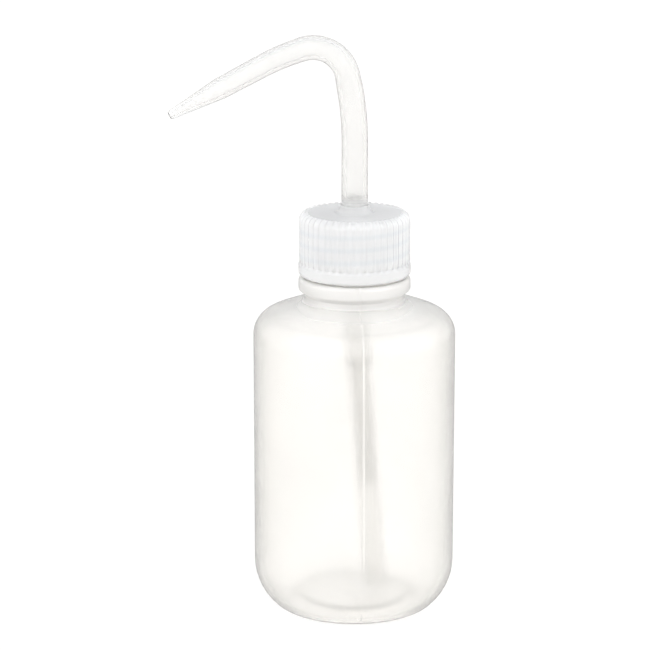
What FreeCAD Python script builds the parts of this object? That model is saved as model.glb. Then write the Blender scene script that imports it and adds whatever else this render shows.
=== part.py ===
"""A 125 mL laboratory wash bottle: blown bottle, ribbed screw cap, bent spout tube and dip tube.

Millimetres. +Z is up along the bottle's axis, the origin is the middle of the ring the bottle
stands on, and the spout points along -X.
"""

import FreeCAD, Part
import math
import os
import Sketcher
from FreeCAD import Placement, Rotation, Vector

SIZES = {
    # bottle body
    "body_radius": 25.5,
    "wall": 1.2,
    "push_up_height": 1.6,
    "push_up_radius": 14.0,
    "foot_inner_radius": 16.4,
    "heel_height": 5.54,
    "heel_angle": 43.3,
    "heel_foot_fillet": 4.3,
    "heel_wall_fillet": 14.1,
    "shoulder_height": 75.34,
    "shoulder_slope": 20.9,
    "shoulder_fillet": 5.93,
    # neck
    "neck_radius": 12.55,
    "bead_radius": 14.1,
    "bead_foot": 81.7,
    "bead_flank": 1.3,
    "bead_top": 86.2,
    "bead_top_fillet": 1.2,
    "bead_fillet": 0.8,
    "finish_radius": 11.0,
    "finish_top": 100.9,
    "bore_radius": 9.0,
    "bore_foot": 87.4,
    "bore_flare": 11.3,
    "bore_flare_top": 85.4,
    "lip_fillet": 0.4,
    # screw thread, shared by neck and cap
    "pitch": 3.175,
    "neck_thread_foot": 90.03,
    "neck_thread_turns": 3,
    "neck_thread_radius": 12.0,
    "cap_thread_turns": 2,
    "cap_thread_radius": 11.3,
    "thread_root": 0.4,
    "thread_foot_half_width": 1.03,
    "thread_crest_half_width": 0.43,
    # screw cap
    "cap_foot": 86.6,
    "cap_top": 102.4,
    "cap_roof": 101.0,
    "cap_bore_radius": 12.35,
    "cap_skirt_bore": 12.9,
    "cap_skirt_height": 2.4,
    "band_radius": 14.1,
    "band_height": 2.7,
    "band_fillet": 1.0,
    "band_slope": 0.7,
    "rib_root_radius": 13.6,
    "rib_crest_radius": 13.95,
    "rim_fillet": 2.0,
    "rib_rim_fillet": 1.65,
    "rib_count": 45,
    "rib_angle": 3.8,
    "plug_radius": 8.92,
    "plug_wall": 0.9,
    "plug_foot": 98.9,
    "boss_top": 104.4,
    "boss_top_radius": 3.8,
    "boss_foot_radius": 4.0,
    "boss_foot_fillet": 1.6,
    "boss_under_radius": 5.2,
    "boss_under_foot": 98.1,
    # spout tube
    "stem_radius": 3.32,
    "stem_bore": 2.2,
    "stem_clearance": 0.06,
    "stem_foot": 97.0,
    "stem_straight": 22.9,
    "sway_bend": 77.0,
    "sway_angle": 10.8,
    "crook_in_run": 2.5,
    "crook_radius": 3.1,
    "crook_bore": 2.05,
    "crook_bend": 8.65,
    "crook_angle": 99.1,
    "crook_out_run": 2.5,
    "arm_radius": 2.95,
    "arm_bore": 1.95,
    "arm_bend": 54.0,
    "arm_angle": 8.4,
    "arm_run": 11.8,
    "nozzle_radius": 2.7,
    "nozzle_bore": 1.75,
    "nozzle_run": 14.4,
    "tip_radius": 1.1,
    "tip_bore": 0.5,
    "tail_bend": 450.0,
    "tail_angle": 4.25,
    "spigot_radius": 2.2,
    "spigot_bore": 1.5,
    "spigot_run": 31.5,
    # dip tube
    "dip_radius": 2.85,
    "dip_squeeze": 0.04,
    "dip_run": 59.5,
}

ORIGIN = (-1, 1)
H_AXIS = -1
V_AXIS = -2
START = 1
END = 2

doc = FreeCAD.newDocument("wash_bottle")
sheet = doc.addObject("Spreadsheet::Sheet", "Sizes")
for row, (alias, number) in enumerate(SIZES.items(), start=1):
    sheet.set(f"A{row}", alias)
    sheet.set(f"B{row}", str(number))
    sheet.setAlias(f"B{row}", alias)
doc.recompute()


def named(formula):
    """The formula with each size written as the sheet's own cell."""
    words = sorted(SIZES, key=len, reverse=True)
    text, at = "", 0
    while at < len(formula):
        word = next((w for w in words if formula.startswith(w, at)), None)
        text += f"Sizes.{word}" if word else formula[at]
        at += len(word) if word else 1
    return text


def value(formula):
    """What a formula of sizes comes to."""
    return float(sheet.evalExpression(named(formula)))


def new_body(label):
    """An empty PartDesign body for one piece."""
    body = doc.addObject("PartDesign::Body", label)
    body.Label = label
    return body


def origin_plane(body, role):
    """One of the body's own origin planes."""
    return next(f for f in body.Origin.OriginFeatures if f.Role == role)


def new_sketch(body, name, role="XZ_Plane", lift=None):
    """A sketch on an origin plane, its own origin raised by the lift formula."""
    sketch = body.newObject("Sketcher::SketchObject", name)
    sketch.AttachmentSupport = [(origin_plane(body, role), "")]
    sketch.MapMode = "FlatFace"
    if lift:
        sketch.AttachmentOffset = Placement(Vector(0, value(lift), 0), Rotation())
        sketch.setExpression("AttachmentOffset.Base.y", named(lift))
    return sketch


def bind(sketch, constraint, formula):
    """Adds a dimension and ties it to its formula."""
    index = sketch.addConstraint(constraint)
    sketch.setExpression(f"Constraints[{index}]", named(formula))


def pin_point(sketch, geometry, vertex, across, up):
    """Fixes a point at its distances from the sketch's origin; 0 puts it on the axis."""
    if across == "0":
        sketch.addConstraint(Sketcher.Constraint("PointOnObject", geometry, vertex, V_AXIS))
    else:
        distance = Sketcher.Constraint("DistanceX", *ORIGIN, geometry, vertex, value(across))
        bind(sketch, distance, across)
    if up == "0":
        sketch.addConstraint(Sketcher.Constraint("PointOnObject", geometry, vertex, H_AXIS))
    else:
        distance = Sketcher.Constraint("DistanceY", *ORIGIN, geometry, vertex, value(up))
        bind(sketch, distance, up)


def draw_outline(sketch, corners):
    """A closed outline through (across, up) or (across, up, fillet) corners, given as formulas."""
    points = [Vector(value(c[0]), value(c[1]), 0) for c in corners]
    fillets = [c[2] if len(c) > 2 else None for c in corners]
    count = len(corners)
    cuts = []
    for i, point in enumerate(points):
        before = (points[i - 1] - point).normalize()
        after = (points[(i + 1) % count] - point).normalize()
        inset = 0.0
        if fillets[i]:
            half = before.getAngle(after) / 2
            inset = value(fillets[i]) / math.tan(half)
        cuts.append((point + before * inset, point + after * inset))
    lines = []
    for i in range(count):
        edge = Part.LineSegment(cuts[i][1], cuts[(i + 1) % count][0])
        lines.append(sketch.addGeometry(edge, False))
    for i, point in enumerate(points):
        line_in, line_out = lines[i - 1], lines[i]
        across, up = corners[i][0], corners[i][1]
        if not fillets[i]:
            joined = Sketcher.Constraint("Coincident", line_in, END, line_out, START)
            sketch.addConstraint(joined)
            pin_point(sketch, line_out, START, across, up)
            continue
        add_fillet(sketch, point, cuts[i], value(fillets[i]), line_in, line_out, fillets[i])
        mark = sketch.addGeometry(Part.Point(point), True)
        sketch.addConstraint(Sketcher.Constraint("PointOnObject", mark, START, line_in))
        sketch.addConstraint(Sketcher.Constraint("PointOnObject", mark, START, line_out))
        pin_point(sketch, mark, START, across, up)


def add_fillet(sketch, corner, ends, radius, line_in, line_out, formula):
    """A tangent arc between two lines of an outline."""
    middle = (ends[0] + ends[1]) * 0.5
    reach = math.hypot(radius, (ends[0] - corner).Length)
    centre = corner + (middle - corner).normalize() * reach
    first = math.atan2(ends[0].y - centre.y, ends[0].x - centre.x)
    last = math.atan2(ends[1].y - centre.y, ends[1].x - centre.x)
    turn = (ends[0] - centre).cross(ends[1] - centre).z
    circle = Part.Circle(centre, Vector(0, 0, 1), radius)
    if turn > 0:
        arc = sketch.addGeometry(Part.ArcOfCircle(circle, first, last), False)
        start_end, finish_end = START, END
    else:
        arc = sketch.addGeometry(Part.ArcOfCircle(circle, last, first), False)
        start_end, finish_end = END, START
    sketch.addConstraint(Sketcher.Constraint("Tangent", line_in, END, arc, start_end))
    sketch.addConstraint(Sketcher.Constraint("Tangent", arc, finish_end, line_out, START))
    bind(sketch, Sketcher.Constraint("Radius", arc, radius), formula)


def turn(body, sketch, name, axis="V_Axis"):
    """Revolves a sketch a full turn about one of its axes."""
    feature = body.newObject("PartDesign::Revolution", name)
    feature.Profile = sketch
    feature.ReferenceAxis = (sketch, [axis])
    feature.Angle = 360
    return feature


def add_thread(body, name, foot, turns, root, crest):
    """A right-hand thread ridge with rounded ends, between root and crest radii."""
    wide, narrow = "thread_foot_half_width", "thread_crest_half_width"
    profile = new_sketch(body, f"{name}_profile", lift=f"{foot} - {wide}")
    corners = [(root, "0"), (crest, f"{wide} - {narrow}")]
    corners += [(crest, f"{wide} + {narrow}"), (root, f"{wide} * 2")]
    draw_outline(profile, corners)
    ridge = body.newObject("PartDesign::AdditiveHelix", name)
    ridge.Profile = profile
    ridge.ReferenceAxis = (profile, ["V_Axis"])
    ridge.Mode = "pitch-turns-angle"
    ridge.setExpression("Pitch", named("pitch"))
    ridge.setExpression("Turns", named(turns))
    ridge.LeftHanded = False
    for end, lift in (("start", foot), ("finish", f"{foot} + {turns} * pitch")):
        half = new_sketch(body, f"{name}_{end}_profile", lift=lift)
        draw_outline(half, [(root, "0"), (crest, "0"), (crest, narrow), (root, wide)])
        turn(body, half, f"{name}_{end}", axis="H_Axis")


def build_bottle():
    """The blown bottle: push-up base, straight wall, sloping shoulder, bead and threaded neck."""
    body = new_body("bottle")
    slope_rise = "tan(shoulder_slope)"
    outer_neck_foot = f"shoulder_height + (body_radius - neck_radius) * {slope_rise}"
    shoulder_drop = "wall * tan(45 - shoulder_slope / 2)"
    inner_shoulder = f"shoulder_height - {shoulder_drop}"
    flare_rise = f"(body_radius - wall - bore_flare) * {slope_rise}"
    heel_foot = "body_radius - heel_height / tan(heel_angle)"
    inner_heel = "heel_height + wall * tan(45 - heel_angle / 2)"
    outside = [
        ("0", "push_up_height"),
        ("push_up_radius", "push_up_height", "push_up_height"),
        ("foot_inner_radius", "0", "bead_fillet"),
        (heel_foot, "0", "heel_foot_fillet"),
        ("body_radius", "heel_height", "heel_wall_fillet"),
        ("body_radius", "shoulder_height", "shoulder_fillet"),
        ("neck_radius", outer_neck_foot, "bead_fillet"),
        ("neck_radius", "bead_foot", "lip_fillet"),
        ("bead_radius", "bead_foot + bead_flank", "bead_fillet"),
        ("bead_radius", "bead_top", "bead_top_fillet"),
        ("finish_radius", "bead_top", "lip_fillet"),
        ("finish_radius", "finish_top", "lip_fillet"),
    ]
    inside = [
        ("bore_radius", "finish_top", "lip_fillet"),
        ("bore_radius", "bore_foot", "wall"),
        ("bore_flare", "bore_flare_top", "wall"),
        ("bore_flare", f"{inner_shoulder} + {flare_rise}", "wall"),
        ("body_radius - wall", inner_shoulder, "shoulder_fillet - wall"),
        ("body_radius - wall", inner_heel, "heel_wall_fillet - wall"),
        (f"{heel_foot} - wall * tan(heel_angle / 2)", "wall", "heel_foot_fillet - wall"),
        ("foot_inner_radius", "wall", "bead_fillet"),
        ("push_up_radius", "push_up_height + wall", "push_up_height"),
        ("0", "push_up_height + wall"),
    ]
    section = new_sketch(body, "bottle_section")
    draw_outline(section, outside + inside)
    turn(body, section, "bottle_shell")
    root = "finish_radius - thread_root"
    add_thread(body, "neck_thread", "neck_thread_foot", "neck_thread_turns", root, "neck_thread_radius")
    return body


def build_cap():
    """The screw cap: ribbed skirt, plain band, plug seal, inner thread and a boss for the stem."""
    body = new_body("screw_cap")
    hole = "stem_radius + stem_clearance"
    section = new_sketch(body, "cap_section")
    corners = [
        ("cap_skirt_bore", "cap_foot"),
        ("band_radius", "cap_foot", "band_fillet"),
        ("band_radius", "cap_foot + band_height", "lip_fillet / 2"),
        ("rib_root_radius", "cap_foot + band_height + band_slope"),
        ("rib_root_radius", "cap_top", "rim_fillet"),
        ("boss_foot_radius", "cap_top", "boss_foot_fillet"),
        ("boss_top_radius", "boss_top", "lip_fillet / 2"),
        (hole, "boss_top"),
        (hole, "boss_under_foot"),
        ("boss_under_radius", "boss_under_foot"),
        ("boss_under_radius", "cap_roof", "lip_fillet"),
        ("plug_radius - plug_wall", "cap_roof", "lip_fillet"),
        ("plug_radius - plug_wall", "plug_foot"),
        ("plug_radius - lip_fillet / 2", "plug_foot"),
        ("plug_radius", "plug_foot + lip_fillet"),
        ("plug_radius", "cap_roof"),
        ("cap_bore_radius", "cap_roof", "lip_fillet"),
        ("cap_bore_radius", "cap_foot + cap_skirt_height"),
        ("cap_skirt_bore", "cap_foot + cap_skirt_height - lip_fillet"),
    ]
    draw_outline(section, corners)
    turn(body, section, "cap_shell")
    foot = "neck_thread_foot + pitch / 2"
    root = "cap_bore_radius + thread_root"
    add_thread(body, "cap_thread", foot, "cap_thread_turns", root, "cap_thread_radius")
    add_ribs(body)
    return body


def add_ribs(body):
    """Grip ribs that run up the skirt and over the rim."""
    depth = "thread_root"
    strip = new_sketch(body, "rib_section")
    corners = [
        (f"rib_root_radius - {depth}", "cap_foot + band_height - lip_fillet"),
        ("rib_crest_radius", "cap_foot + band_height - lip_fillet"),
        ("rib_crest_radius", "cap_top", "rib_rim_fillet"),
        (f"rib_crest_radius - rib_rim_fillet - {depth}", "cap_top"),
        (f"rib_crest_radius - rib_rim_fillet - {depth}", f"cap_top - {depth} * 2"),
        (f"rib_root_radius - {depth}", "cap_top - rib_rim_fillet - lip_fillet"),
    ]
    draw_outline(strip, corners)
    rib = body.newObject("PartDesign::Revolution", "rib")
    rib.Profile = strip
    rib.ReferenceAxis = (strip, ["V_Axis"])
    rib.Midplane = True
    rib.setExpression("Angle", named("rib_angle"))
    ribs = body.newObject("PartDesign::PolarPattern", "ribs")
    ribs.Originals = [rib]
    ribs.Axis = (strip, ["V_Axis"])
    ribs.Angle = 360
    ribs.setExpression("Occurrences", named("rib_count"))
    body.Tip = ribs


class Walk:
    """A place and heading in the XZ plane, moved on by each straight run and each left-hand bend."""

    def __init__(self, height, heading):
        self.place = Vector(0, 0, height)
        self.heading = math.radians(heading)

    def along(self):
        return Vector(math.cos(self.heading), 0, math.sin(self.heading))

    def left(self):
        return Vector(-math.sin(self.heading), 0, math.cos(self.heading))

    def run_frame(self):
        """Local Z points along the run."""
        return Placement(self.place, Rotation(Vector(0, 0, 1), self.along()))

    def bend_frame(self, radius):
        """Local Z is the bend's axis and local X points at where the bend starts."""
        centre = self.place + self.left() * radius
        turned = Rotation(self.left() * -1, self.along(), Vector(0, -1, 0), "ZXY")
        return Placement(centre, turned)

    def run(self, length):
        self.place = self.place + self.along() * length

    def bend(self, radius, angle):
        centre = self.place + self.left() * radius
        self.heading += math.radians(angle)
        self.place = centre - self.left() * radius


def place_primitive(body, kind, name, frame, formulas):
    """A primitive in the body, set in a frame, its sizes tied to formulas."""
    solid = body.newObject(f"PartDesign::{kind}", name)
    solid.AttachmentSupport = [(origin_plane(body, "XY_Plane"), "")]
    solid.MapMode = "FlatFace"
    solid.AttachmentOffset = frame
    for size, formula in formulas.items():
        setattr(solid, size, value(formula))
        solid.setExpression(size, named(formula))
    return solid


def add_tube(body, name, walk, stations, action):
    """Runs and bends in a row; each station is (kind, sizes, start radius, end radius)."""
    for number, (kind, sizes, first, last) in enumerate(stations, start=1):
        label = f"{name}_{number}"
        if kind == "bend":
            ring, angle = sizes
            formulas = {"Radius1": ring, "Radius2": first, "Angle3": angle}
            frame = walk.bend_frame(value(ring))
            place_primitive(body, f"{action}Torus", label, frame, formulas)
            walk.bend(value(ring), value(angle))
            continue
        form = "Cylinder" if first == last else "Cone"
        radii = {"Radius": first} if first == last else {"Radius1": first, "Radius2": last}
        frame = walk.run_frame()
        place_primitive(body, f"{action}{form}", label, frame, {"Height": sizes, **radii})
        walk.run(value(sizes))


def spout_stations(stem, crook, arm, nozzle, tip):
    """The spout's runs and bends from the stem up to the tip, for its outside or its bore."""
    return [
        ("run", "stem_straight", stem, stem),
        ("bend", ("sway_bend", "sway_angle"), stem, stem),
        ("run", "crook_in_run", stem, crook),
        ("bend", ("crook_bend", "crook_angle"), crook, crook),
        ("run", "crook_out_run", crook, arm),
        ("bend", ("arm_bend", "arm_angle"), arm, arm),
        ("run", "arm_run", arm, nozzle),
        ("run", "nozzle_run", nozzle, tip),
    ]


def tail_stations(stem, spigot):
    """The stem below the cap, which sways slightly, then the spigot that holds the dip tube."""
    return [
        ("bend", ("tail_bend", "tail_angle"), stem, stem),
        ("run", "spigot_run", spigot, spigot),
    ]


def build_spout():
    """The spout tube: stem through the cap, crook, tapering arm, nozzle, and spigot below."""
    body = new_body("spout_tube")
    foot = value("stem_foot")
    skin = spout_stations("stem_radius", "crook_radius", "arm_radius", "nozzle_radius", "tip_radius")
    bore = spout_stations("stem_bore", "crook_bore", "arm_bore", "nozzle_bore", "tip_bore")
    add_tube(body, "spout_skin", Walk(foot, 90), skin, "Additive")
    tail = Walk(foot, -90)
    add_tube(body, "tail_skin", tail, tail_stations("stem_radius", "spigot_radius"), "Additive")
    add_tube(body, "spout_bore", Walk(foot, 90), bore, "Subtractive")
    bore_tail = tail_stations("spigot_bore", "spigot_bore")
    add_tube(body, "tail_bore", Walk(foot, -90), bore_tail, "Subtractive")
    return body


def build_dip_tube():
    """The dip tube: a straight tube pushed over the spigot up to the stem's shoulder."""
    body = new_body("dip_tube")
    ring = new_sketch(body, "dip_section", role="XY_Plane")
    for formula in ("dip_radius", "spigot_radius - dip_squeeze"):
        circle = ring.addGeometry(Part.Circle(Vector(), Vector(0, 0, 1), value(formula)), False)
        ring.addConstraint(Sketcher.Constraint("Coincident", circle, 3, *ORIGIN))
        bind(ring, Sketcher.Constraint("Radius", circle, value(formula)), formula)
    pad = body.newObject("PartDesign::Pad", "dip_wall")
    pad.Profile = ring
    pad.setExpression("Length", named("dip_run"))
    shoulder = Walk(value("stem_foot"), -90)
    shoulder.bend(value("tail_bend"), value("tail_angle"))
    body.Placement = shoulder.run_frame()
    return body


def check(parts):
    """Stops if any object failed or any piece is not one valid solid."""
    failed = [o.Name for o in doc.Objects if {"Invalid", "Error"} & set(o.State)]
    if failed:
        raise RuntimeError(f"objects that failed: {failed}")
    for part in parts:
        if part.Shape.isNull() or not part.Shape.isValid() or len(part.Shape.Solids) != 1:
            raise RuntimeError(f"{part.Label} is not one valid solid")


pieces = [build_bottle(), build_cap(), build_spout(), build_dip_tube()]
doc.recompute()
check(pieces)
os.makedirs("parts", exist_ok=True)
for piece in pieces:
    piece.Shape.exportStep(f"parts/{piece.Label}.step")
    print(piece.Label, round(piece.Shape.Volume, 1), piece.Shape.BoundBox)
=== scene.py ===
"""The look of a translucent wash bottle: bottle, ribbed screw cap, bent spout tube and dip tube."""
import math

import bmesh
import bpy
import numpy as np
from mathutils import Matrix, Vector


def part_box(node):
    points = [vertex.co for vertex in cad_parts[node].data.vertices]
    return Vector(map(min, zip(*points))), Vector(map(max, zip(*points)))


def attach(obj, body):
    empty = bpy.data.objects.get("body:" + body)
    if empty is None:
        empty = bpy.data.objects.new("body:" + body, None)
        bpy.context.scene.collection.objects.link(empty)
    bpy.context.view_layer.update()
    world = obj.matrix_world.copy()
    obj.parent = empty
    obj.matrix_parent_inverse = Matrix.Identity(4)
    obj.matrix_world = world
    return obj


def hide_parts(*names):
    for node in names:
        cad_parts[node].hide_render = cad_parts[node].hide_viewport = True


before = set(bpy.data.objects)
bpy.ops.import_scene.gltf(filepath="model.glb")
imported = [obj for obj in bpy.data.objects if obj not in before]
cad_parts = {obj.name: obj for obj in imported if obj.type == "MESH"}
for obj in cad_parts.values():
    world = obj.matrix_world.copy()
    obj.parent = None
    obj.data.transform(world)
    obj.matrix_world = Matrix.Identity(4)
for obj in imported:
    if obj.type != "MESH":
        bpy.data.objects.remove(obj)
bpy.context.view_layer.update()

MM = 0.001

# Driving sizes, in millimetres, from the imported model.
bottle_low, bottle_high = (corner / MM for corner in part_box("bottle"))
cap_low, cap_high = (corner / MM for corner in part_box("screw_cap"))
BODY_RADIUS = bottle_high.x
FINISH_TOP = bottle_high.z
CAP_FOOT = cap_low.z
BOSS_TOP = cap_high.z
BAND_RADIUS = cap_high.x

# Bottle
WALL = 1.2
SHOULDER_SLOPE = math.radians(20.9)
SHOULDER_HEIGHT = FINISH_TOP - 25.56
NECK_RADIUS = 12.55
BEAD_RADIUS = 14.1
BEAD_FOOT = FINISH_TOP - 19.2
BEAD_TOP = FINISH_TOP - 14.7
FINISH_RADIUS = 11.0
BORE_RADIUS = 9.0
BORE_FOOT = FINISH_TOP - 13.5
BORE_FLARE = 11.3
BORE_FLARE_DROP = 2.0
HEEL_ANGLE = math.radians(43.3)
HEEL_HEIGHT = 5.54
HEEL_FOOT_FILLET = 4.3
HEEL_WALL_FILLET = 14.1
SHOULDER_FILLET = 5.93
BEAD_FLANK = 1.3
BEAD_FILLET = 0.8
BEAD_TOP_FILLET = 1.2
LIP_FILLET = 0.4
PUSH_UP = 1.6
PUSH_UP_RADIUS = 14.0
FOOT_RING_RADIUS = 16.4
SEAM_ANGLE = math.radians(-84.6)
SEAM_HEIGHT = 0.1
SEAM_WIDTH = 0.16

# Screw thread
PITCH = 3.175
NECK_THREAD_FOOT = FINISH_TOP - 10.87
NECK_THREAD_TURNS = 3
CAP_THREAD_TURNS = 2
THREAD_FADE = math.radians(14)
THREAD_HEIGHT = 1.0
THREAD_FOOT_HALF = 0.86
THREAD_CREST_HALF = 0.43

# Screw cap
CAP_TOP = CAP_FOOT + 15.8
CAP_ROOF = CAP_FOOT + 14.4
BAND_TOP = CAP_FOOT + 2.7
CAP_BORE = 12.35
SKIRT_BORE = 12.9
SKIRT_STEP = CAP_FOOT + 2.4
BAND_FILLET = 1.0
BAND_SLOPE = 0.7
BOSS_RADIUS = 3.8
BOSS_FOOT_RADIUS = 4.0
BOSS_FOOT_FILLET = 1.6
BOSS_UNDER_RADIUS = 5.2
BOSS_UNDER_FOOT = CAP_ROOF - 2.9
PLUG_RADIUS = 8.92
PLUG_BORE = 8.02
PLUG_FOOT = CAP_ROOF - 2.1
STEM_CLEARANCE = 0.06
RIB_ROOT = 13.6
RIB_HEIGHT = 0.35
RIB_COUNT = 45
RIB_STEPS = 10
RIM_FILLET = 2.0

# Tubes
STEM_RADIUS = 3.32
STEM_FOOT = CAP_FOOT + 10.4
TAIL_BEND = 450.0
TAIL_ANGLE = 4.25
TAIL_BORE = 1.9
STEM_BORE = 2.2
SWAY_RADIUS = 3.25
SWAY_BORE = 2.15
CROOK_RADII = (3.12, 3.0)
ARM_RADIUS = 2.95
ARM_BORE = 1.95
NOZZLE_RADIUS = 2.7
NOZZLE_BORE = 1.72
TIP_RADIUS = 1.12
TIP_END_RADIUS = 0.95
TIP_LIP = 0.25
TIP_BORES = (0.55, 0.5)
TIP_BORE_RUN = 2.0
SPIGOT_RADIUS = 2.12
SPIGOT_BORE = 1.5
SPIGOT_RUN = 31.5
DIP_RADIUS = 2.85
DIP_BORE = 2.16
DIP_EDGE = 0.12
DIP_RUN = 59.5
JOIN_GAP = 0.02

# The spout's runs ("run", length) and bends ("bend", radius, angle) from the stem's foot to the tip
SPOUT = [
    ("run", 22.9),
    ("bend", 77.0, 10.8),
    ("run", 2.5),
    ("bend", 8.65, 99.1),
    ("run", 2.5),
    ("bend", 54.0, 8.4),
    ("run", 11.8),
    ("run", 14.4),
]
TAIL = [("bend", TAIL_BEND, TAIL_ANGLE)]


def arc_points(start, end, centre, turn):
    """Points on the fillet from start to end about centre, fewer on a fine one."""
    radius = math.dist(start, centre)
    count = max(3, math.ceil(abs(turn) / math.radians(7 if radius > 0.5 else 15)))
    first = math.atan2(start[1] - centre[1], start[0] - centre[0])
    angles = [first + turn * k / count for k in range(count + 1)]
    return [(centre[0] + radius * math.cos(a), centre[1] + radius * math.sin(a)) for a in angles]


def rounded(corners, loop=False):
    """An outline through (across, up, fillet) corners, its fillets as arcs."""
    spots = [np.array(c[:2], float) for c in corners]
    count = len(corners)
    line = []
    for i, spot in enumerate(spots):
        fillet = corners[i][2] if len(corners[i]) > 2 else 0
        ends = loop or 0 < i < count - 1
        if not fillet or not ends:
            line.append(tuple(spot))
            continue
        before = spots[i - 1] - spot
        after = spots[(i + 1) % count] - spot
        before /= np.linalg.norm(before)
        after /= np.linalg.norm(after)
        half = math.acos(np.clip(before @ after, -1, 1)) / 2
        start = spot + before * fillet / math.tan(half)
        end = spot + after * fillet / math.tan(half)
        middle = before + after
        centre = spot + middle / np.linalg.norm(middle) * fillet / math.sin(half)
        cross = before[0] * after[1] - before[1] * after[0]
        turn = (math.pi - 2 * half) * (1 if cross < 0 else -1)
        line += arc_points(start, end, centre, turn)
    return line


def divided(line, spacing, loop=False):
    """The outline with its long stretches split so that no step is longer than spacing(point)."""
    points = []
    pairs = list(zip(line, line[1:] + line[:1])) if loop else list(zip(line, line[1:]))
    for first, second in pairs:
        first, second = np.array(first), np.array(second)
        steps = max(1, math.ceil(math.dist(first, second) / spacing((first + second) / 2)))
        points += [first + (second - first) * k / steps for k in range(steps)]
    if not loop:
        points.append(np.array(line[-1]))
    return np.array(points)


def outward(line, loop=False):
    """Unit normals of an outline that has its solid on the left."""
    if loop:
        along = np.roll(line, -1, 0) - np.roll(line, 1, 0)
    else:
        along = np.gradient(line, axis=0)
    along /= np.maximum(np.linalg.norm(along, axis=1), 1e-9)[:, None]
    return np.column_stack([along[:, 1], -along[:, 0]])


def skin(name, rings, loop=False):
    """A closed mesh over rings of points; without loop, its first and last rings close to a point."""
    count, steps = rings.shape[:2]
    points = rings.reshape(-1, 3)
    near = np.arange(count if loop else count - 1)
    at = np.arange(steps)
    ring_a, step_a = np.meshgrid(near, at, indexing="ij")
    ring_b, step_b = (ring_a + 1) % count, (step_a + 1) % steps
    quads = np.stack(
        [
            ring_a * steps + step_a,
            ring_a * steps + step_b,
            ring_b * steps + step_b,
            ring_b * steps + step_a,
        ],
        axis=-1,
    )
    mesh = bpy.data.meshes.new(name)
    mesh.from_pydata((points * MM).tolist(), [], quads.reshape(-1, 4).tolist())
    work = bmesh.new()
    work.from_mesh(mesh)
    bmesh.ops.remove_doubles(work, verts=work.verts, dist=1e-7)
    bmesh.ops.recalc_face_normals(work, faces=work.faces)
    work.to_mesh(mesh)
    work.free()
    mesh.shade_smooth()
    piece = bpy.data.objects.new(name, mesh)
    bpy.context.scene.collection.objects.link(piece)
    return piece


def turned(line, angles, swell=None):
    """Rings of points from an outline turned about Z; swell gives each point's outward move."""
    theta, _ = np.meshgrid(angles, np.zeros(len(line)))
    across = np.repeat(line[:, :1], len(angles), 1)
    up = np.repeat(line[:, 1:], len(angles), 1)
    if swell is not None:
        out_x, out_z = swell(theta, across, up)
        across, up = across + out_x, up + out_z
    return np.stack([across * np.cos(theta), across * np.sin(theta), up], axis=-1)


def smooth(x):
    """0 to 1 with level ends."""
    x = np.clip(x, 0, 1)
    return x * x * (3 - 2 * x)


def thread(theta, up, foot, turns):
    """How far a right-hand thread stands up, 0 to 1, round a wall; it fades in and out at its ends."""
    theta = np.mod(theta, 2 * math.pi)
    height = np.zeros_like(up)
    for lap in range(-1, turns + 1):
        wound = theta / (2 * math.pi) + lap
        offset = np.abs(up - foot - wound * PITCH)
        ridge = smooth((THREAD_FOOT_HALF - offset) / (THREAD_FOOT_HALF - THREAD_CREST_HALF))
        fade = THREAD_FADE / (2 * math.pi)
        ends = smooth(wound / fade + 0.5) * smooth((turns - wound) / fade + 0.5)
        height = np.maximum(height, ridge * ends)
    return height


# ---------------------------------------------------------------- bottle


def bottle_outline():
    """The bottle's section: from the middle of its base up the outside, and down the inside."""
    heel_foot = BODY_RADIUS - HEEL_HEIGHT / math.tan(HEEL_ANGLE)
    neck_foot = SHOULDER_HEIGHT + (BODY_RADIUS - NECK_RADIUS) * math.tan(SHOULDER_SLOPE)
    inner_radius = BODY_RADIUS - WALL
    inner_shoulder = SHOULDER_HEIGHT - WALL * math.tan(math.pi / 4 - SHOULDER_SLOPE / 2)
    flare_foot = inner_shoulder + (inner_radius - BORE_FLARE) * math.tan(SHOULDER_SLOPE)
    inner_heel = HEEL_HEIGHT + WALL * math.tan(math.pi / 4 - HEEL_ANGLE / 2)
    outside = [
        (0, PUSH_UP),
        (PUSH_UP_RADIUS, PUSH_UP, PUSH_UP),
        (FOOT_RING_RADIUS, 0, BEAD_FILLET),
        (heel_foot, 0, HEEL_FOOT_FILLET),
        (BODY_RADIUS, HEEL_HEIGHT, HEEL_WALL_FILLET),
        (BODY_RADIUS, SHOULDER_HEIGHT, SHOULDER_FILLET),
        (NECK_RADIUS, neck_foot, BEAD_FILLET),
        (NECK_RADIUS, BEAD_FOOT, LIP_FILLET),
        (BEAD_RADIUS, BEAD_FOOT + BEAD_FLANK, BEAD_FILLET),
        (BEAD_RADIUS, BEAD_TOP, BEAD_TOP_FILLET),
        (FINISH_RADIUS, BEAD_TOP, LIP_FILLET),
        (FINISH_RADIUS, FINISH_TOP, LIP_FILLET),
        (BORE_RADIUS, FINISH_TOP, LIP_FILLET),
    ]
    inside = [
        (BORE_RADIUS, BORE_FOOT, WALL),
        (BORE_FLARE, BORE_FOOT - BORE_FLARE_DROP, WALL),
        (BORE_FLARE, flare_foot, WALL),
        (inner_radius, inner_shoulder, SHOULDER_FILLET - WALL),
        (inner_radius, inner_heel, HEEL_WALL_FILLET - WALL),
        (heel_foot - WALL * math.tan(HEEL_ANGLE / 2), WALL, HEEL_FOOT_FILLET - WALL),
        (FOOT_RING_RADIUS, WALL, BEAD_FILLET),
        (PUSH_UP_RADIUS, PUSH_UP + WALL, PUSH_UP),
        (0, PUSH_UP + WALL),
    ]
    return rounded(outside + inside)


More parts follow.
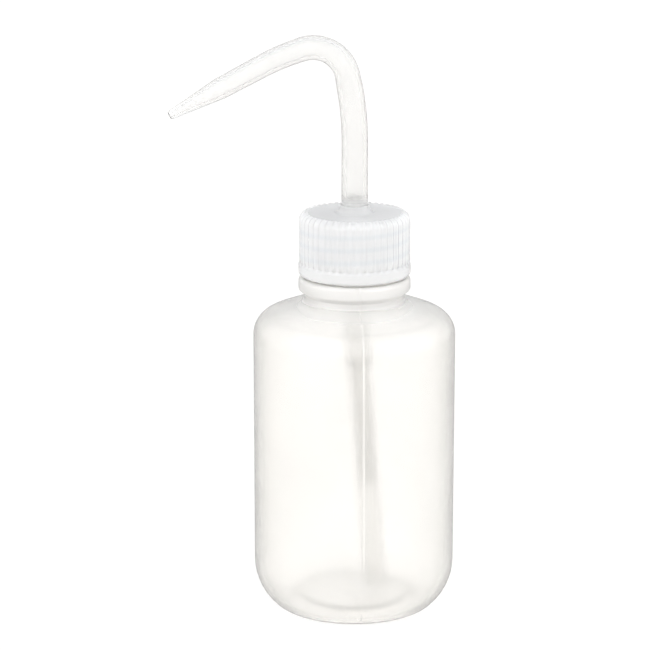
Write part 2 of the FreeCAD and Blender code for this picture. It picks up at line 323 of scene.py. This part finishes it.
def bottle_spacing(point):
    """Fine steps over the thread, wider ones on the plain wall."""
    in_thread = FINISH_RADIUS - 0.1 < point[0] < FINISH_RADIUS + 0.1 and point[1] > BEAD_TOP
    return 0.18 if in_thread else 2.4


def seam_angles(count):
    """Even angles round the bottle, with more beside its two mould seams."""
    even = np.linspace(0, 2 * math.pi, count, endpoint=False)
    beside = np.array([0, 0.08, 0.16, 0.25, 0.36, 0.5]) / BODY_RADIUS
    extra = [SEAM_ANGLE + side * math.pi + sign * beside for side in (0, 1) for sign in (-1, 1)]
    everywhere = np.mod(np.concatenate([even, *extra]), 2 * math.pi)
    return np.unique(np.round(everywhere, 7))


def make_bottle():
    """The blown bottle, with its thread, mould seam and slightly uneven wall."""
    line = divided(bottle_outline(), bottle_spacing)
    normals = outward(line)
    lip = int(np.argmax(line[:, 1]))
    outer = (np.arange(len(line)) <= lip)[:, None]

    def swell(theta, across, up):
        on_wall = (np.abs(across - FINISH_RADIUS) < 0.05) & (up > BEAD_TOP) & outer
        ridge = thread(theta, up, NECK_THREAD_FOOT, NECK_THREAD_TURNS) * THREAD_HEIGHT * on_wall
        beside = across * np.sin(theta - SEAM_ANGLE) / SEAM_WIDTH
        seam = SEAM_HEIGHT * np.exp(-(beside**2)) * outer * smooth((up - 0.1) / 0.5)
        sag = np.sin(2 * theta + 0.6) * np.sin(up / 21) + 0.6 * np.sin(3 * theta - up / 13)
        inner = 0.07 * sag * ~outer * smooth((across - 12) / 8)
        move = seam + inner
        return ridge + move * normals[:, :1], move * normals[:, 1:]

    piece = skin("bottle_wall", turned(line, seam_angles(208), swell))
    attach(piece, "bottle")
    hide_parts("bottle")
    return piece


# ---------------------------------------------------------------- screw cap


def make_cap():
    """The screw cap: ribs that fade over the rim, plain band, plug seal, inner thread and boss."""
    hole = STEM_RADIUS + STEM_CLEARANCE
    corners = [
        (SKIRT_BORE, CAP_FOOT, 0.1),
        (BAND_RADIUS, CAP_FOOT, BAND_FILLET),
        (BAND_RADIUS, BAND_TOP, 0.3),
        (RIB_ROOT, BAND_TOP + BAND_SLOPE, 0.3),
        (RIB_ROOT, CAP_TOP, RIM_FILLET),
        (BOSS_FOOT_RADIUS, CAP_TOP, BOSS_FOOT_FILLET),
        (BOSS_RADIUS, BOSS_TOP, 0.2),
        (hole, BOSS_TOP, 0.1),
        (hole, BOSS_UNDER_FOOT, 0.2),
        (BOSS_UNDER_RADIUS, BOSS_UNDER_FOOT, LIP_FILLET),
        (BOSS_UNDER_RADIUS, CAP_ROOF, LIP_FILLET),
        (PLUG_BORE, CAP_ROOF, LIP_FILLET),
        (PLUG_BORE, PLUG_FOOT, 0.2),
        (PLUG_RADIUS, PLUG_FOOT, 0.3),
        (PLUG_RADIUS, CAP_ROOF, 0.3),
        (CAP_BORE, CAP_ROOF, LIP_FILLET),
        (CAP_BORE, SKIRT_STEP, 0.2),
        (SKIRT_BORE, SKIRT_STEP - LIP_FILLET, 0.2),
    ]

    def spacing(point):
        return 0.2 if abs(point[0] - CAP_BORE) < 0.1 else 1.5

    line = divided(rounded(corners, loop=True), spacing, loop=True)
    normals = outward(line, loop=True)
    steps = RIB_COUNT * RIB_STEPS
    angles = np.linspace(0, 2 * math.pi, steps, endpoint=False)
    thread_foot = NECK_THREAD_FOOT + PITCH / 2

    def swell(theta, across, up):
        ribbed = (across > RIB_ROOT - RIM_FILLET) & (up > BAND_TOP)
        over_rim = smooth((across - RIB_ROOT + RIM_FILLET) / 1.0)
        wave = 0.5 + 0.5 * np.cos(RIB_COUNT * theta)
        rib = RIB_HEIGHT * wave * over_rim * ribbed * smooth((up - BAND_TOP - 0.4) / 0.5)
        on_bore = np.abs(across - CAP_BORE) < 0.03
        ridge = thread(theta, up, thread_foot, CAP_THREAD_TURNS) * on_bore * THREAD_HEIGHT
        return rib * normals[:, :1] - ridge, rib * normals[:, 1:]

    piece = skin("cap_shell", turned(line, angles, swell), loop=True)
    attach(piece, "cap")
    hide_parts("screw_cap")
    return piece


# ---------------------------------------------------------------- tubes


def walk(height, heading, stations, step=0.6):
    """Places, headings and distances gone along runs ("run", length) and bends ("bend", radius, angle)."""
    place = np.array([0.0, height])
    angle = math.radians(heading)
    places, headings, gone = [place.copy()], [angle], [0.0]
    for station in stations:
        if station[0] == "run":
            length, turn = station[1], 0.0
        else:
            turn = math.radians(station[2])
            length = station[1] * turn
        count = max(2, math.ceil(length / step), math.ceil(turn / math.radians(3)))
        for _ in range(count):
            half = angle + turn / count / 2
            chord = length / count
            if turn:
                chord = 2 * station[1] * math.sin(turn / count / 2)
            place = place + chord * np.array([math.cos(half), math.sin(half)])
            angle += turn / count
            places.append(place.copy())
            headings.append(angle)
            gone.append(gone[-1] + length / count)
    return np.array(places), np.array(headings), np.array(gone)


def tube_rings(places, headings, radii, steps=144):
    """Rings of the given radii round a path in the XZ plane."""
    around = np.linspace(0, 2 * math.pi, steps, endpoint=False)
    left = np.column_stack([-np.sin(headings), np.zeros(len(headings)), np.cos(headings)])
    centres = np.column_stack([places[:, 0], np.zeros(len(places)), places[:, 1]])
    side = np.array([0, 1, 0])
    spokes = np.cos(around)[None, :, None] * left[:, None, :]
    spokes = spokes + np.sin(around)[None, :, None] * side
    return centres[:, None, :] + spokes * np.array(radii)[:, None, None]


def station_ends(stations):
    """The distance gone at the end of each run and bend."""
    lengths = [s[1] if s[0] == "run" else s[1] * math.radians(s[2]) for s in stations]
    return [0.0, *np.cumsum(lengths)]


def pipe(name, places, headings, outer, inner):
    """A tube along a path, up its outside and back down its bore, riding with the tubes."""
    rings = tube_rings(
        np.concatenate([places, places[::-1]]),
        np.concatenate([headings, headings[::-1]]),
        np.concatenate([outer, inner[::-1]]),
    )
    piece = skin(name, rings, loop=True)
    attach(piece, "tubes")
    return piece


def make_spout():
    """The spout tube from the cap's boss to the tip of its nozzle."""
    places, headings, gone = walk(STEM_FOOT, 90, SPOUT)
    ends = station_ends(SPOUT)
    outer = np.interp(
        gone,
        [0, ends[2], ends[3], ends[4], ends[5], ends[7], ends[8] - TIP_LIP, ends[8]],
        [STEM_RADIUS, SWAY_RADIUS, *CROOK_RADII, ARM_RADIUS, NOZZLE_RADIUS, TIP_RADIUS, TIP_END_RADIUS],
    )
    inner = np.interp(
        gone,
        [0, ends[2], ends[4], ends[7], ends[8] - TIP_BORE_RUN, ends[8]],
        [STEM_BORE, SWAY_BORE, ARM_BORE, NOZZLE_BORE, *TIP_BORES],
    )
    piece = pipe("spout_pipe", places, headings, outer, inner)
    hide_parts("spout_tube")
    return piece


def make_tail():
    """The spout tube's lower end: the stem's foot and the thin spigot inside the dip tube."""
    places, headings, gone = walk(STEM_FOOT - JOIN_GAP, -90, TAIL + [("run", SPIGOT_RUN)])
    tail_length = TAIL_BEND * math.radians(TAIL_ANGLE)
    thick = gone < tail_length - 1e-6
    shoulder = int(thick.sum())
    places = np.insert(places, shoulder, places[shoulder], axis=0)
    headings = np.insert(headings, shoulder, headings[shoulder])
    count = len(places)
    outer = np.where(np.arange(count) <= shoulder, STEM_RADIUS, SPIGOT_RADIUS)
    inner = np.where(np.arange(count) <= shoulder, TAIL_BORE, SPIGOT_BORE)
    piece = pipe("stem_tail", places, headings, outer, inner)
    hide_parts("spout_tube")
    return piece


def make_dip_tube():
    """The dip tube: a thin straight tube with softened ends."""
    places, headings, gone = walk(STEM_FOOT, -90, TAIL + [("run", DIP_RUN)])
    shoulder = math.radians(TAIL_ANGLE) * TAIL_BEND
    keep = gone >= shoulder - 1e-6
    places, headings = places[keep], headings[keep]
    count = len(places)
    outer = np.full(count, DIP_RADIUS)
    outer[[0, -1]] -= DIP_EDGE
    inner = np.full(count, DIP_BORE)
    inner[[0, -1]] += DIP_EDGE
    piece = pipe("dip_pipe", places, headings, outer, inner)
    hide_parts("dip_tube")
    return piece


# ---------------------------------------------------------------- materials

PLASTIC_IOR = 1.51
COAT_WEIGHT = 0.5
COAT_ROUGHNESS = 0.12
COAT_IOR = 1.5
CLOUD_SCALE = 38.0
GRAIN_SCALE = 900.0
TINT_SPREAD = 0.997
HAZE_SPREAD = 0.03
BLUR_SPREAD = 0.15
MILKY_HAZE = -0.35
MILKY_BLUR = 0.12
GRAIN_STRENGTH = 0.08

# Painted shade of the neck thread behind the cap's wall: darker bands laid on the cap's colour from the
# band up to the rim, fading out at both.
SHADE_TOP = CAP_TOP - 2.0
SHADE_TOP_FADE = 1.2
SHADE_FOOT_FADE = 1.5
SHADE_FROM = -0.2


def computed(tree, operation, *terms):
    """The result of a maths node; each term is a number or another node's output."""
    node = tree.nodes.new("ShaderNodeMath")
    node.operation = operation
    for socket, term in zip(node.inputs, terms):
        if isinstance(term, bpy.types.NodeSocket):
            tree.links.new(term, socket)
        else:
            socket.default_value = term
    return node.outputs["Value"]


def ranged(tree, share, source, result=(0.0, 1.0)):
    """The share mapped from one range to another, and held at both ends."""
    node = tree.nodes.new("ShaderNodeMapRange")
    node.inputs["From Min"].default_value = source[0]
    node.inputs["From Max"].default_value = source[1]
    node.inputs["To Min"].default_value = result[0]
    node.inputs["To Max"].default_value = result[1]
    tree.links.new(share, node.inputs["Value"])
    return node.outputs["Result"]


def noise(tree, place, scale, detail):
    """Noise through the solid."""
    node = tree.nodes.new("ShaderNodeTexNoise")
    node.inputs["Scale"].default_value = scale
    node.inputs["Detail"].default_value = detail
    tree.links.new(place, node.inputs["Vector"])
    return node.outputs["Fac"]


def separated(tree, vector):
    """A vector's X, Y and Z."""
    node = tree.nodes.new("ShaderNodeSeparateXYZ")
    tree.links.new(vector, node.inputs["Vector"])
    return node.outputs["X"], node.outputs["Y"], node.outputs["Z"]


def thread_shade(tree, place):
    """0 to 1, how much painted shade of the thread behind the cap's wall lies on the colour at a point."""
    x, y, height = separated(tree, place)
    angle = computed(tree, "ARCTAN2", y, x)
    lead = 2 * math.pi / PITCH
    laps = computed(tree, "MULTIPLY_ADD", height, lead / MM, -lead * NECK_THREAD_FOOT)
    wave = computed(tree, "COSINE", computed(tree, "SUBTRACT", laps, angle))
    below_rim = ranged(tree, height, (SHADE_TOP * MM, (SHADE_TOP - SHADE_TOP_FADE) * MM))
    above_band = ranged(tree, height, (BAND_TOP * MM, (BAND_TOP + SHADE_FOOT_FADE) * MM))
    inside = computed(tree, "MULTIPLY", below_rim, above_band)
    return computed(tree, "MULTIPLY", inside, ranged(tree, wave, (SHADE_FROM, 1.0)))


def clouded(tree, cloud, tint):
    """The plastic's colour, a touch darker in patches."""
    node = tree.nodes.new("ShaderNodeValToRGB")
    dark, light = node.color_ramp.elements
    dark.position = 0.35
    light.position = 0.65
    dark.color = (*[c * TINT_SPREAD for c in tint], 1)
    light.color = (*tint, 1)
    tree.links.new(cloud, node.inputs["Fac"])
    return node.outputs["Color"]


def with_painted_thread_shade(tree, place, tone, thread_shade_colour):
    """The tone, mixed towards a painted shade colour where the thread behind the wall would shade it."""
    node = tree.nodes.new("ShaderNodeMix")
    node.data_type = "RGBA"
    node.inputs["B"].default_value = (*thread_shade_colour, 1)
    tree.links.new(thread_shade(tree, place), node.inputs["Factor"])
    tree.links.new(tone, node.inputs["A"])
    return node.outputs["Result"]


def grained(tree, place, relief):
    """Normals over a fine grain of the given relief in millimetres."""
    node = tree.nodes.new("ShaderNodeBump")
    node.inputs["Strength"].default_value = GRAIN_STRENGTH
    node.inputs["Distance"].default_value = relief * MM
    tree.links.new(noise(tree, place, GRAIN_SCALE, 2.0), node.inputs["Height"])
    return node.outputs["Normal"]


def plastic(name, tint, roughness, clear, absorb, density, relief=0.2, milky=None, thread_shade_colour=None):
    """Translucent plastic: a hazy clear wall under a glossier skin, darker with depth.

    milky is a pair of heights between which the plastic turns from clear to milky; the last
    argument is the colour of painted shade where the thread behind the wall would shade it.
    """
    material = bpy.data.materials.new(name)
    material.use_nodes = True
    tree = material.node_tree
    shader = tree.nodes["Principled BSDF"]
    shader.inputs["IOR"].default_value = PLASTIC_IOR
    shader.inputs["Coat Weight"].default_value = COAT_WEIGHT
    shader.inputs["Coat Roughness"].default_value = COAT_ROUGHNESS
    shader.inputs["Coat IOR"].default_value = COAT_IOR
    place = tree.nodes.new("ShaderNodeTexCoord").outputs["Object"]
    cloud = noise(tree, place, CLOUD_SCALE, 3.0)
    tone = clouded(tree, cloud, tint)
    # painted shade: the colour is darkened in bands where the thread behind the wall would cast shade
    if thread_shade_colour:
        tone = with_painted_thread_shade(tree, place, tone, thread_shade_colour)
    haze = ranged(tree, cloud, (0.3, 0.7), (clear - HAZE_SPREAD, clear + HAZE_SPREAD))
    least, most = roughness * (1 - BLUR_SPREAD), roughness * (1 + BLUR_SPREAD)
    blur = ranged(tree, cloud, (0.0, 1.0), (least, most))
    if milky:
        height = separated(tree, place)[2]
        share = ranged(tree, height, (milky[0] * MM, milky[1] * MM))
        haze = computed(tree, "MULTIPLY_ADD", share, MILKY_HAZE, haze)
        blur = computed(tree, "MULTIPLY_ADD", share, MILKY_BLUR, blur)
    tree.links.new(tone, shader.inputs["Base Color"])
    tree.links.new(haze, shader.inputs["Transmission Weight"])
    tree.links.new(blur, shader.inputs["Roughness"])
    tree.links.new(grained(tree, place, relief), shader.inputs["Normal"])
    depth = tree.nodes.new("ShaderNodeVolumeAbsorption")
    depth.inputs["Color"].default_value = (*absorb, 1)
    depth.inputs["Density"].default_value = density
    tree.links.new(depth.outputs["Volume"], tree.nodes["Material Output"].inputs["Volume"])
    return material


# ---------------------------------------------------------------- studio

FLOOR_RADIUS = 6.0
FLOOR_SEEN = 0.97
FLOOR_GLOW = 1.38
FLOOR_MIRROR = 0.4
FLOOR_TONE = (0.05, 0.05, 0.05)
FLOOR_TINT = (1.0, 0.992, 0.982)
WORLD_LIGHT = 1.4
WORLD_MIRROR = 0.65
WORLD_LOW = 0.12
WORLD_HIGH = 0.75
HORIZON = (1.0, 1.0, 1.0)
ZENITH = (0.91, 0.925, 0.95)
LIT_POINT = (0, 0, 0.07)
CAMERA_TILT = math.radians(90 - 14.65)
CAMERA_TURN = math.radians(0.635)
BOUNCES = 48


def glow_by_ray(tree, plain, mirrored):
    """A strength that is plain for most light and mirrored for what a glossy skin reflects."""
    ray = tree.nodes.new("ShaderNodeLightPath").outputs
    reflected = computed(tree, "MULTIPLY", ray["Is Glossy Ray"], ray["Is Reflection Ray"])
    return ranged(tree, reflected, (0.0, 1.0), (plain, mirrored))


def floor_material():
    """Matt white floor."""
    material = bpy.data.materials.new("floor_white")
    material.use_nodes = True
    tree = material.node_tree
    shader = tree.nodes["Principled BSDF"]
    shader.inputs["Base Color"].default_value = (*FLOOR_TONE, 1)
    shader.inputs["Roughness"].default_value = 0.9
    shader.inputs["Emission Color"].default_value = (*FLOOR_TINT, 1)
    ray = tree.nodes.new("ShaderNodeLightPath").outputs
    seen = tree.nodes.new("ShaderNodeMix")
    seen.inputs["B"].default_value = FLOOR_SEEN
    tree.links.new(ray["Is Camera Ray"], seen.inputs["Factor"])
    tree.links.new(glow_by_ray(tree, FLOOR_GLOW, FLOOR_MIRROR), seen.inputs["A"])
    tree.links.new(seen.outputs["Result"], shader.inputs["Emission Strength"])
    return material


def make_floor():
    """A wide pale floor under the bottle."""
    mesh = bpy.data.meshes.new("floor")
    work = bmesh.new()
    bmesh.ops.create_circle(work, cap_ends=True, radius=FLOOR_RADIUS, segments=96)
    work.to_mesh(mesh)
    work.free()
    floor = bpy.data.objects.new("floor", mesh)
    bpy.context.scene.collection.objects.link(floor)
    mesh.materials.append(floor_material())


def make_world():
    """A white surround, a little darker and cooler overhead."""
    world = bpy.data.worlds.new("studio")
    bpy.context.scene.world = world
    world.use_nodes = True
    tree = world.node_tree
    background = tree.nodes["Background"]
    heading = tree.nodes.new("ShaderNodeTexCoord").outputs["Generated"]
    ramp = tree.nodes.new("ShaderNodeValToRGB")
    low, high = ramp.color_ramp.elements
    low.position = WORLD_LOW
    low.color = (*HORIZON, 1)
    high.position = WORLD_HIGH
    high.color = (*ZENITH, 1)
    tree.links.new(separated(tree, heading)[2], ramp.inputs["Fac"])
    tree.links.new(ramp.outputs["Color"], background.inputs["Color"])
    tree.links.new(glow_by_ray(tree, WORLD_LIGHT, WORLD_MIRROR), background.inputs["Strength"])


def add_softbox(name, place, size, power):
    """A square area light aimed at the middle of the bottle."""
    lamp = bpy.data.lights.new(name, "AREA")
    lamp.size = size
    lamp.energy = power
    light = bpy.data.objects.new(name, lamp)
    light.location = place
    light.rotation_euler = (Vector(LIT_POINT) - Vector(place)).to_track_quat("-Z", "Y").to_euler()
    bpy.context.scene.collection.objects.link(light)


def add_camera():
    """A long lens, a little above the cap, aimed just left of the bottle's axis."""
    lens = bpy.data.cameras.new("camera")
    lens.lens = 151.5
    lens.clip_start = 0.01
    camera = bpy.data.objects.new("camera", lens)
    camera.location = (0, -0.6684, 0.2480)
    camera.rotation_euler = (CAMERA_TILT, 0, CAMERA_TURN)
    bpy.context.scene.collection.objects.link(camera)
    bpy.context.scene.camera = camera


# ---------------------------------------------------------------- the scene

bottle_plastic = plastic(
    "soft_polyethylene",
    tint=(0.968, 0.963, 0.954),
    roughness=0.19,
    clear=0.85,
    absorb=(0.93, 0.895, 0.81),
    density=85,
    milky=(BEAD_FOOT - 5.2, BEAD_FOOT - 0.2),
)
cap_plastic = plastic(
    "polypropylene",
    tint=(1.0, 1.0, 1.0),
    roughness=0.25,
    clear=0.54,
    absorb=(0.9, 0.91, 0.92),
    density=5,
    # painted shade: bluish grey laid on the cap's colour where the neck thread behind its wall would shade
    # it
    thread_shade_colour=(0.925, 0.945, 0.97),
)
tube_plastic = plastic(
    "polyethylene_tube",
    tint=(0.987, 0.986, 0.983),
    roughness=0.16,
    clear=0.87,
    absorb=(0.8, 0.795, 0.78),
    density=400,
    relief=0.03,
    milky=(BOSS_TOP + 2.6, BOSS_TOP + 0.6),
)
dip_plastic = plastic(
    "thin_polyethylene_tube",
    tint=(0.999, 0.994, 0.984),
    roughness=0.13,
    clear=0.92,
    absorb=(0.8, 0.79, 0.75),
    density=55,
    relief=0.03,
)
for piece, material in (
    (make_bottle(), bottle_plastic),
    (make_cap(), cap_plastic),
    (make_spout(), tube_plastic),
    (make_tail(), dip_plastic),
    (make_dip_tube(), dip_plastic),
):
    piece.data.materials.append(material)

make_floor()
make_world()
add_softbox("key_light", (-0.7, -0.7, 0.9), size=1.6, power=3)
add_softbox("fill_light", (0.9, -0.3, 0.6), size=1.4, power=2)
add_camera()
scene = bpy.context.scene
scene.view_settings.view_transform = "Standard"
scene.cycles.max_bounces = BOUNCES
scene.cycles.transmission_bounces = BOUNCES
scene.cycles.glossy_bounces = BOUNCES
scene.cycles.diffuse_bounces = BOUNCES
